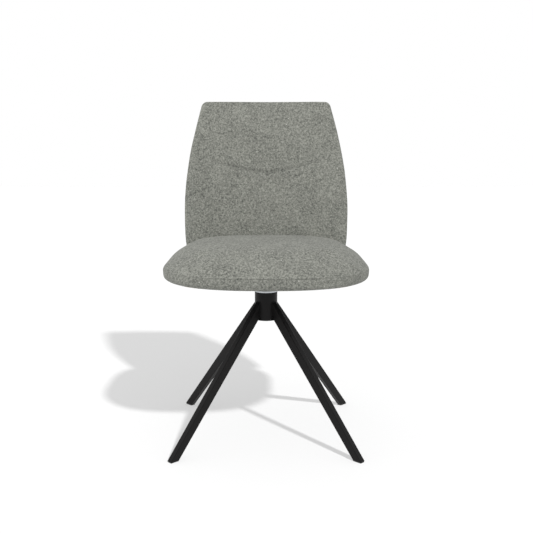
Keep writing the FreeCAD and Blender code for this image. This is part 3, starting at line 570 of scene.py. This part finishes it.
class CHAIR_OT_back_cushion(bpy.types.Operator):
    """Makes the leaning back cushion in its cover, with a seam near its rim and a curved crease"""
    bl_idname = "chair.back_cushion"
    bl_label = "Back cushion"

    def execute(self, context):
        s = context.scene.chair_back
        cloth = context.scene.chair_cloth
        bottom, top = BACK_LOW.z, BACK_HIGH.z + s.reach
        per_side = round(SIDE_LENGTH / cloth.spacing)
        # The back leans and curls from its foot up, and is thickest low down.
        foot_level, foot_depth, tilt, curl = 0.450, 0.178, math.radians(10), 0.0096
        thickest_level, thickest, thinning = 0.520, 0.052, 0.016
        shoulder = top - 0.025

        def half_width(level):
            """Half the back's width at a level."""
            if level > s.widest:
                rise = (level - s.widest) / (shoulder - s.widest)
                return s.half_width - s.narrowing * rise ** s.narrowing_power
            return s.half_width - s.foot_narrowing * ((s.widest - level) / (s.widest - bottom)) ** 2

        def thickness(level):
            """Thickness of the back at a level, fullest low down."""
            return thickest - thinning * ((level - thickest_level) / (top - thickest_level)) ** 2

        def middle(x, level):
            """Depth of the middle of the back's thickness."""
            over = level - foot_level
            lean = over * math.tan(tilt) + curl * (over / (top - foot_level)) ** 2
            return foot_depth + lean + thickness(level) / 2 - s.bow * (x / s.half_width) ** 2

        def corner_line(end, radius, upwards):
            """The quarter round at the right end of the top, or of the foot with upwards -1."""
            steps = 24
            side = half_width(end - upwards * radius)
            turns = [math.pi / 2 * k / steps for k in range(steps + 1)]
            return [Vector((side - radius * (1 - math.cos(turn)), 0,
                            end - upwards * radius * (1 - math.sin(turn)))) for turn in turns]

        def mirrored(line):
            """The line on the other side of the back's middle."""
            return [Vector((-p.x, 0, p.z)) for p in line]

        def distinct(line):
            """The line without points that repeat."""
            kept = [line[0]]
            for point in line[1:]:
                if (point - kept[-1]).length > 1e-6:
                    kept.append(point)
            return kept

        high, low = top - s.corner, bottom + s.foot_corner
        steps = 80
        levels = [low + (high - low) * k / steps for k in range(steps + 1)]
        top_round, foot_round = corner_line(top, s.corner, 1), corner_line(bottom, s.foot_corner, -1)
        mid = len(top_round) // 2
        right = (foot_round[:mid + 1][::-1] + [Vector((half_width(level), 0, level)) for level in levels]
                 + top_round[:mid + 1])
        crest = top_round[mid:] + mirrored(top_round[mid:][::-1])
        foot = mirrored(foot_round[mid:]) + foot_round[mid:][::-1]
        loop = []
        for line in (right, crest, mirrored(right[::-1]), foot):
            loop += evenly(distinct(line), per_side)
        count = len(loop)
        inwards = []
        for k in range(count):
            along = loop[(k + 1) % count] - loop[k - 1]
            inwards.append(Vector((-along.z, 0, along.x)).normalized())
        rim_power = 2.4

        def ring(turn):
            """The outline moved in and forwards or back, round the rounded rim."""
            inset = s.edge * (1 - abs(math.cos(turn)) ** (2 / rim_power))
            share = math.copysign(abs(math.sin(turn)) ** (2 / rim_power), turn)
            points = []
            for place, inward in zip(loop, inwards):
                x, z = place.x + inward.x * inset, place.z + inward.z * inset
                points.append(Vector((x, middle(x, z) + share * (thickness(z) / 2), z)))
            return points

        # Rings from the front face to the seam, close on both sides of it, then round to the rear face.
        full = math.pi / 2
        seam_turn = -math.acos((1 - s.seam / s.edge) ** (rim_power / 2))
        front_rings, rear_rings = 4, 9
        close, closer = 0.1, 0.035
        turns = [-full + (seam_turn + full) * k / front_rings for k in range(front_rings)]
        turns += [seam_turn + offset for offset in (-close, -closer, 0.0, closer, close)]
        turns += [seam_turn + close + (full - seam_turn - close) * k / rear_rings
                  for k in range(1, rear_rings + 1)]
        kinds = ["cover"] * (front_rings + 1) + ["seam"] * 3 + ["cover"] * (rear_rings + 1)
        rings = [ring(turn) for turn in turns]

        crease_low, crease_rise, crease_half = 0.659, 0.036, 0.155

        def crease_level(x):
            """Height of the curved crease at a distance from the middle line."""
            return crease_low + crease_rise * (abs(x) / crease_half) ** 1.5

        # The front face's mesh lines follow the crease, less and less away from its mean level.
        crease_mean, drawn_height, drawn_half = 0.672, 0.05, 0.23
        caps = []
        for side, outline in ((-1, rings[0]), (1, rings[-1])):
            net = patch([Vector((p.x, 0, p.z)) for p in outline], per_side)
            for j, row in enumerate(net):
                for i, point in enumerate(row):
                    if side < 0 and 0 < i < per_side and 0 < j < per_side:
                        pull = (bell(point.z, crease_mean, drawn_height)
                                * (1 - (abs(point.x) / drawn_half) ** 4))
                        point.z += (crease_level(point.x) - crease_mean) * pull
                    point.y = middle(point.x, point.z) + side * (thickness(point.z) / 2)
            caps.append(net)
        piece = closed_cover("back_cover", rings, per_side, caps[0], caps[1])
        fill(piece, {0.8: points_of(kinds, "seam", count)}, cloth)
        refine(piece)

        seam_at = -abs(math.sin(seam_turn)) ** (2 / rim_power)
        seam_width, seam_depth, seam_shade = 0.055, 0.0009, 0.35
        seam_top, seam_fading, seam_faint = 0.72, 0.08, 0.15
        facing, facing_fade = 0.15, 0.6
        groove_width, groove_half, groove_shade = 0.0042, 0.168, 0.30
        fold_drop, fold_width, fold_height = 0.015, 0.012, 0.0016
        wave_height, waves, wave_start = 0.0008, 13, 9

        def depth_at(place, normal):
            """The seam's valley, the crease with the fullness under it, and slight unevenness; the valley and
            the crease also get painted shade.
            """
            here = (place.y - middle(place.x, place.z)) / (thickness(place.z) / 2)
            near_rim = max(0.0, 1 + min(0.0, normal.y + facing) * facing_fade)
            low_down = clamp((seam_top - place.z) / seam_fading, seam_faint)
            valley = bell(here, seam_at, seam_width) * near_rim * low_down
            depth, shade = seam_depth * valley, seam_shade * valley
            if normal.y < -0.5:
                off = place.z - crease_level(place.x)
                fade = max(0.0, 1 - (abs(place.x) / groove_half) ** 4)
                groove = bell(off, 0.0, groove_width) * fade
                depth += s.crease * groove - fold_height * bell(off, -fold_drop, fold_width) * fade
                shade = max(shade, groove_shade * groove)
            return depth + wave_height * unevenness(place, waves, wave_start), shade

        dent(piece, depth_at)
        piece.data.materials.append(bpy.data.materials["woven_melange_polyester"])
        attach(piece, "seat")
        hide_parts("back_cushion_front", "back_cushion_rear")
        return {"FINISHED"}


class CHAIR_OT_lining(bpy.types.Operator):
    """Makes the black lining under the seat, open round the swivel plate and the brackets"""
    bl_idname = "chair.lining"
    bl_label = "Lining"

    def execute(self, context):
        s = context.scene.chair_seat
        inset = SEAT_HIGH.x - LINING_HIGH.x
        half, front, rear = plan_reach(s, inset)
        plate_room, bracket_room, pitch, thickness = 0.002, 0.001, 0.006, 0.0004
        rim, gap, sag, pucker, puckers = 0.985, 0.0003, 0.0015, 0.0003, 45
        plate_x, plate_y = PLATE_HIGH.x + plate_room, PLATE_HIGH.y + plate_room
        slot_in, slot_out = BRACKET_LOW.x - bracket_room, BRACKET_HIGH.x + bracket_room
        slot_front = BRACKET_LOW.y - plate_room

        def ticks(*breaks):
            """Marks at about the pitch that include every break."""
            marks = [breaks[0]]
            for low, high in zip(breaks, breaks[1:]):
                steps = max(1, round((high - low) / pitch))
                marks += [low + (high - low) * (k + 1) / steps for k in range(steps)]
            return marks

        def is_open(x, y):
            """True where the plate or a bracket needs room."""
            if abs(x) < plate_x and abs(y) < plate_y:
                return True
            return slot_in < abs(x) < slot_out and y > slot_front

        across = ticks(-half, -slot_out, -slot_in, -plate_x, plate_x, slot_in, slot_out, half)
        along = ticks(s.middle - front, -plate_y, slot_front, plate_y, s.middle + rear)
        numbers, points, faces, area = {}, [], [], 0.0

        def number(i, j):
            """Number of the point where two marks cross, which is made when it is first asked for."""
            if (i, j) not in numbers:
                x, y = across[i], along[j]
                share = plan_share(s, inset, x, y)
                if share > rim:
                    x, y = x / share, s.middle + (y - s.middle) / share
                hang = max(0.0, 1 - share ** 3) * sag
                wave = pucker * noise.noise(Vector((x * puckers, y * puckers, 2.0)))
                numbers[i, j] = len(points)
                points.append((x, y, LINING_HIGH.z - gap - hang + wave))
            return numbers[i, j]

        for j in range(len(along) - 1):
            for i in range(len(across) - 1):
                x, y = (across[i] + across[i + 1]) / 2, (along[j] + along[j + 1]) / 2
                if is_open(x, y) or plan_share(s, inset, x, y) > 1:
                    continue
                faces.append([number(i, j), number(i + 1, j), number(i + 1, j + 1), number(i, j + 1)])
                area += (across[i + 1] - across[i]) * (along[j + 1] - along[j])
        mesh = bpy.data.meshes.new("lining")
        mesh.from_pydata(points, [], faces)
        mesh.shade_smooth()
        piece = bpy.data.objects.new("lining", mesh)
        context.scene.collection.objects.link(piece)
        mesh.flip_normals()
        thick = piece.modifiers.new("Thickness", "SOLIDIFY")
        thick.thickness = thickness
        thick.offset = 0
        mesh.materials.append(bpy.data.materials["spunbonded_lining"])
        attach(piece, "seat")
        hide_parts("dust_cover")
        return {"FINISHED"}


def repeat_tree(name, length_name, spacing, shape, material):
    """A tree that sets one small shape at even steps along each line of a mesh."""
    tree = bpy.data.node_groups.new(name, "GeometryNodeTree")
    tree.interface.new_socket("Geometry", in_out="INPUT", socket_type="NodeSocketGeometry")
    step = tree.interface.new_socket(length_name, in_out="INPUT", socket_type="NodeSocketFloat")
    step.default_value = spacing
    tree.interface.new_socket("Geometry", in_out="OUTPUT", socket_type="NodeSocketGeometry")
    start = add(tree, "NodeGroupInput")
    line = add(tree, "GeometryNodeMeshToCurve", {"Mesh": start.outputs["Geometry"]})
    stations = add(tree, "GeometryNodeResampleCurve",
                   {"Curve": line.outputs["Curve"], "Length": start.outputs[length_name]}, mode="LENGTH")
    tangent = add(tree, "GeometryNodeInputTangent")
    normal = add(tree, "GeometryNodeInputNamedAttribute", {"Name": "outwards"}, data_type="FLOAT_VECTOR")
    turn = add(tree, "FunctionNodeAlignRotationToVector", {"Vector": tangent.outputs[0]}, axis="X")
    upright = add(tree, "FunctionNodeAlignRotationToVector",
                  {"Rotation": turn.outputs[0], "Vector": normal.outputs["Attribute"]}, axis="Z",
                  pivot_axis="X")
    source = add(tree, "GeometryNodeObjectInfo", {"Object": shape})
    copies = add(tree, "GeometryNodeInstanceOnPoints",
                 {"Points": stations.outputs["Curve"], "Instance": source.outputs["Geometry"],
                  "Rotation": upright.outputs[0]})
    real = add(tree, "GeometryNodeRealizeInstances", {"Geometry": copies.outputs[0]})
    coated = add(tree, "GeometryNodeSetMaterial", {"Geometry": real.outputs[0], "Material": material})
    add(tree, "NodeGroupOutput", {0: coated.outputs[0]})
    return tree


def lines_mesh(name, lines, closed, outwards):
    """A mesh of open or closed lines, with the direction that is outwards at each point."""
    points, edges, directions = [], [], []
    for line in lines:
        base = len(points)
        points += [tuple(p) for p in line]
        directions += [tuple(outwards(p)) for p in line]
        edges += [(base + k, base + k + 1) for k in range(len(line) - 1)]
        if closed:
            edges.append((base + len(line) - 1, base))
    mesh = bpy.data.meshes.new(name)
    mesh.from_pydata(points, edges, [])
    away = mesh.attributes.new("outwards", "FLOAT_VECTOR", "POINT")
    for k, direction in enumerate(directions):
        away.data[k].vector = direction
    piece = bpy.data.objects.new(name, mesh)
    bpy.context.scene.collection.objects.link(piece)
    return piece


def repeated(name, lines, closed, outwards, tree):
    """Small shapes along lines, as one plain mesh."""
    piece = lines_mesh(name, lines, closed, outwards)
    modifier = piece.modifiers.new("Repeat", "NODES")
    modifier.node_group = tree
    bake(piece, modifier)
    return piece


def small_shape(name, points, faces):
    """A shape to repeat, kept out of the scene."""
    mesh = bpy.data.meshes.new(name)
    mesh.from_pydata(points, [], faces)
    return bpy.data.objects.new(name, mesh)


class CHAIR_OT_staples(bpy.types.Operator):
    """Makes the staples that hold the lining to the seat board"""
    bl_idname = "chair.staples"
    bl_label = "Staples"

    def execute(self, context):
        s = context.scene.chair_seat
        half_long, half_wide, proud, bend, cuts = 0.005, 0.0006, 0.0007, 0.0011, 7
        pitch, from_edge, slot_room, plan_points = 0.034, 0.006, 0.008, 60
        # A crown that bends down into the cloth at both ends.
        points, faces = [], []
        for k in range(cuts):
            share = (k - cuts // 2) / (cuts // 2)
            x = half_long * math.sin(math.pi / 2 * share)
            drop = bend * abs(share) ** 4
            points += [(x, -half_wide, -drop - proud), (x, half_wide, -drop - proud),
                       (x, half_wide, proud - drop), (x, -half_wide, proud - drop)]
        last = 4 * (cuts - 1)
        for a in range(0, last, 4):
            for e in range(4):
                n = (e + 1) % 4
                faces.append((a + e, a + n, a + 4 + n, a + 4 + e))
        faces += [(3, 2, 1, 0), (last, last + 1, last + 2, last + 3)]
        staple = small_shape("staple_shape", points, faces)
        tree = repeat_tree("Staples", "Spacing", pitch, staple, bpy.data.materials["galvanised_wire"])
        plan = seat_plan(s, SEAT_HIGH.x - LINING_HIGH.x + from_edge, plan_points)
        loop = [Vector((p.x, p.y + s.middle, LINING_HIGH.z - proud)) for p in plan]
        slot_in, slot_out = BRACKET_LOW.x - slot_room, BRACKET_HIGH.x + slot_room
        # The row stops at each bracket's slot, and a stretch too short for a staple is left out.
        lines, line = [], []
        for p in loop + loop[:1]:
            if slot_in < abs(p.x) < slot_out and p.y > 0:
                if len(line) > 3:
                    lines.append(line)
                line = []
            else:
                line.append(p)
        lines.append(line)
        piece = repeated("staples", lines, False, lambda p: Vector((0, 0, -1)), tree)
        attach(piece, "seat")
        return {"FINISHED"}


class CHAIR_OT_weld_beads(bpy.types.Operator):
    """Makes the coated weld beads where the legs meet the hub"""
    bl_idname = "chair.weld_beads"
    bl_label = "Weld beads"

    def execute(self, context):
        # One ripple of a bead is a flat dome.
        cuts, peak, narrow, pitch = 8, 0.0011, 0.7, 0.0011
        points, faces = [(0, 0, peak)], []
        for radius, height in ((0.0011, 0.0008), (0.0018, 0.0)):
            for k in range(cuts):
                turn = math.tau * k / cuts
                points.append((radius * math.cos(turn) * narrow, radius * math.sin(turn), height))
        for k in range(cuts):
            n = (k + 1) % cuts
            faces += [(0, 1 + k, 1 + n), (1 + k, 1 + cuts + k, 1 + cuts + n, 1 + n)]
        faces.append(tuple(range(2 * cuts, cuts, -1)))
        ripple = small_shape("ripple_shape", points, faces)
        tree = repeat_tree("Weld ripples", "Pitch", pitch, ripple, bpy.data.materials["powder_coated_steel"])
        # A bead runs round each leg's end, a tall rounded oblong wrapped on the hub.
        foot_radius, leg_depth = 0.320, 0.0248
        lower_slope, upper_slope = math.radians(41.4), math.radians(40.5)
        radius = HUB_HIGH.x + 0.0002
        half, corner, stretch, corner_steps, side_steps = 0.0075, 0.0025, 1.4, 6, 6
        low = (foot_radius - leg_depth - radius) / math.tan(lower_slope)
        high = (foot_radius - radius) / math.tan(upper_slope)
        outline = []
        for across, up, start in ((1, 1, 0), (-1, 1, 90), (-1, -1, 180), (1, -1, 270)):
            level = high - corner * stretch if up > 0 else low + corner * stretch
            for k in range(corner_steps + 1):
                turn = math.radians(start + 90 / corner_steps * k)
                outline.append((across * (half - corner) + corner * math.cos(turn),
                                level + corner * stretch * math.sin(turn)))
        lines = []
        for base in (math.radians(leg_turn) for leg_turn in (-45, 45, 135, 225)):
            line = []
            for (across, level), after in zip(outline, outline[1:] + outline[:1]):
                for part in range(side_steps):
                    turn = base + math.asin((across + (after[0] - across) * part / side_steps) / radius)
                    line.append(Vector((radius * math.cos(turn), radius * math.sin(turn),
                                        level + (after[1] - level) * part / side_steps)))
            lines.append(line)
        piece = repeated("weld_beads", lines, True, lambda p: Vector((p.x, p.y, 0.004)).normalized(), tree)
        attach(piece, "base")
        return {"FINISHED"}


class CHAIR_OT_finishes(bpy.types.Operator):
    """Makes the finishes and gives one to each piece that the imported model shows"""
    bl_idname = "chair.finishes"
    bl_label = "Finishes"

    def execute(self, context):
        finish = context.scene.chair_finish
        melange_cloth(finish)
        lining_cloth()
        plain_metal("galvanised_wire", "#c9ccce", "#9ea1a3", 2 * MM, 0.3, 0.5)
        by_slot = {
            "frame_black": powder_coat(finish),
            "glide_black": moulded_plastic("moulded_polyethylene", "#161616", 0.5),
            "bush_acetal": moulded_plastic("turned_acetal", "#ddd9cd", 0.38),
            "zinc_steel": plain_metal("bright_zinc_plate", "#d3d6d8", "#a9adb0", 5 * MM, 0.22, 0.42),
            "spindle_steel": plain_metal("oiled_black_oxide_steel", "#3c3b3a", "#262524", 3 * MM, 0.3, 0.45),
            "bearing_steel": plain_metal("ground_bearing_steel", "#dfe0e2", "#c2c4c7", 2 * MM, 0.08, 0.16),
            "plywood": birch_ply(),
            "fabric_grey": bpy.data.materials["woven_melange_polyester"],
            "dust_cloth": bpy.data.materials["spunbonded_lining"],
        }
        slots = {part["node"]: part["material_slot"] for part in frame["record"]["subparts"]}
        for name, thing in frame["nodes"].items():
            material = by_slot[slots[name]]
            if thing.material_slots:
                thing.material_slots[0].material = material
            else:
                thing.data.materials.append(material)
        return {"FINISHED"}


def seen_rays(tree):
    """The light path, and 1 for the rays that show a thing by itself or in a gloss."""
    way = add(tree, "ShaderNodeLightPath")
    seen = add(tree, "ShaderNodeMath", {0: way.outputs["Is Camera Ray"], 1: way.outputs["Is Glossy Ray"]},
               operation="MAXIMUM")
    return way, seen


def paper():
    """White seamless paper: grey with a glow of its own to whatever sees it, so that it shows as white."""
    material = bpy.data.materials.new("seamless_paper")
    material.use_nodes = True
    tree = material.node_tree
    tree.nodes.clear()
    seen = seen_rays(tree)[1]
    matt = add(tree, "ShaderNodeBsdfDiffuse", {"Color": linear("#959595")})
    glow = add(tree, "ShaderNodeEmission", {"Color": (1, 1, 1, 1), "Strength": 0.43})
    shown = add(tree, "ShaderNodeAddShader", {0: matt.outputs[0], 1: glow.outputs[0]})
    mixed = add(tree, "ShaderNodeMixShader", {0: seen.outputs[0], 1: matt.outputs[0], 2: shown.outputs[0]})
    add(tree, "ShaderNodeOutputMaterial", {"Surface": mixed.outputs[0]})
    return material


def studio(finish):
    """The world: white where it is seen, and lit by a broad soft box in front, a little to the left."""
    world = bpy.data.worlds.new("studio")
    world.use_nodes = True
    tree = world.node_tree
    tree.nodes.clear()
    way, seen = seen_rays(tree)
    through = add(tree, "ShaderNodeMath", {0: seen.outputs[0], 1: way.outputs["Is Transmission Ray"]},
                  operation="MAXIMUM")
    towards = add(tree, "ShaderNodeTexCoord")
    parts = add(tree, "ShaderNodeSeparateXYZ", {0: towards.outputs["Generated"]})
    aside = add(tree, "ShaderNodeMath", {0: parts.outputs["X"], 1: -0.17, 2: finish.fill},
                operation="MULTIPLY_ADD")
    forwards = add(tree, "ShaderNodeMath", {0: parts.outputs["Y"], 1: 0.0}, operation="MINIMUM")
    level = add(tree, "ShaderNodeMath", {0: forwards.outputs[0], 1: -finish.ahead, 2: aside.outputs[0]},
                operation="MULTIPLY_ADD")
    room = add(tree, "ShaderNodeBackground", {"Color": (1, 1, 1, 1), "Strength": level.outputs[0]})
    white = add(tree, "ShaderNodeBackground", {"Color": (1, 1, 1, 1), "Strength": 1.0})
    mixed = add(tree, "ShaderNodeMixShader", {0: through.outputs[0], 1: room.outputs[0], 2: white.outputs[0]})
    add(tree, "ShaderNodeOutputWorld", {"Surface": mixed.outputs[0]})
    return world


class CHAIR_OT_stage(bpy.types.Operator):
    """Makes the pale floor, the studio light and the camera"""
    bl_idname = "chair.stage"
    bl_label = "Stage"

    def execute(self, context):
        finish = context.scene.chair_finish
        scene = context.scene
        reach = 14.0
        mesh = bpy.data.meshes.new("floor")
        mesh.from_pydata([(-reach, -reach, 0), (reach, -reach, 0), (reach, reach, 0), (-reach, reach, 0)], [],
                         [(0, 1, 2, 3)])
        mesh.materials.append(paper())
        floor = bpy.data.objects.new("floor", mesh)
        scene.collection.objects.link(floor)
        scene.world = studio(finish)

        # The key light casts the shadow on the floor, behind the chair and to its left.
        key_way = Vector((-0.548, 1.025, -1.0))
        lamp = bpy.data.lights.new("key", "SUN")
        lamp.energy = finish.key
        lamp.angle = math.radians(3)
        key = bpy.data.objects.new("key", lamp)
        key.rotation_mode = "QUATERNION"
        key.rotation_quaternion = key_way.to_track_quat("-Z", "Y")
        scene.collection.objects.link(key)
        only_floor = bpy.data.collections.new("lit_by_key")
        only_floor.objects.link(floor)
        key.light_linking.receiver_collection = only_floor

        # The camera stands in front, a little over the seat, and looks slightly down.
        downwards = 8.18
        camera = bpy.data.cameras.new("camera")
        camera.lens = 54.59
        camera.sensor_width = 36
        viewer = bpy.data.objects.new("camera", camera)
        viewer.location = (0.0011, -2.0148, 0.7177)
        viewer.rotation_euler = (math.radians(90 - downwards), 0, 0)
        scene.collection.objects.link(viewer)
        scene.camera = viewer
        scene.view_settings.view_transform = "Standard"
        return {"FINISHED"}


OPERATORS = (CHAIR_OT_finishes, CHAIR_OT_seat_cushion, CHAIR_OT_back_cushion, CHAIR_OT_lining,
             CHAIR_OT_staples, CHAIR_OT_weld_beads, CHAIR_OT_stage)


class CHAIR_PT_panel(bpy.types.Panel):
    """Lists the chair's pieces in the sidebar"""
    bl_label = "Swivel dining chair"
    bl_idname = "CHAIR_PT_panel"
    bl_space_type = "VIEW_3D"
    bl_region_type = "UI"
    bl_category = "Chair"

    def draw(self, context):
        for kind in OPERATORS:
            self.layout.operator(kind.bl_idname)
        for name in SETTINGS:
            group = getattr(context.scene, name)
            for setting in group.bl_rna.properties:
                if setting.identifier not in ("rna_type", "name"):
                    self.layout.prop(group, setting.identifier)


SETTINGS = {
    "chair_seat": SeatSettings,
    "chair_back": BackSettings,
    "chair_cloth": ClothSettings,
    "chair_finish": FinishSettings,
}


def register():
    """Registers the settings, operators and panel."""
    for name, kind in SETTINGS.items():
        bpy.utils.register_class(kind)
        setattr(bpy.types.Scene, name, PointerProperty(type=kind))
    for kind in OPERATORS + (CHAIR_PT_panel,):
        bpy.utils.register_class(kind)


def unregister():
    """Takes them away again."""
    for kind in (CHAIR_PT_panel,) + OPERATORS[::-1]:
        bpy.utils.unregister_class(kind)
    for name, kind in SETTINGS.items():
        delattr(bpy.types.Scene, name)
        bpy.utils.unregister_class(kind)


def main():
    """Makes every piece and the stage."""
    register()
    bpy.ops.chair.finishes()
    bpy.ops.chair.seat_cushion()
    bpy.ops.chair.back_cushion()
    bpy.ops.chair.lining()
    bpy.ops.chair.staples()
    bpy.ops.chair.weld_beads()
    bpy.ops.chair.stage()


if __name__ == "__main__":
    main()
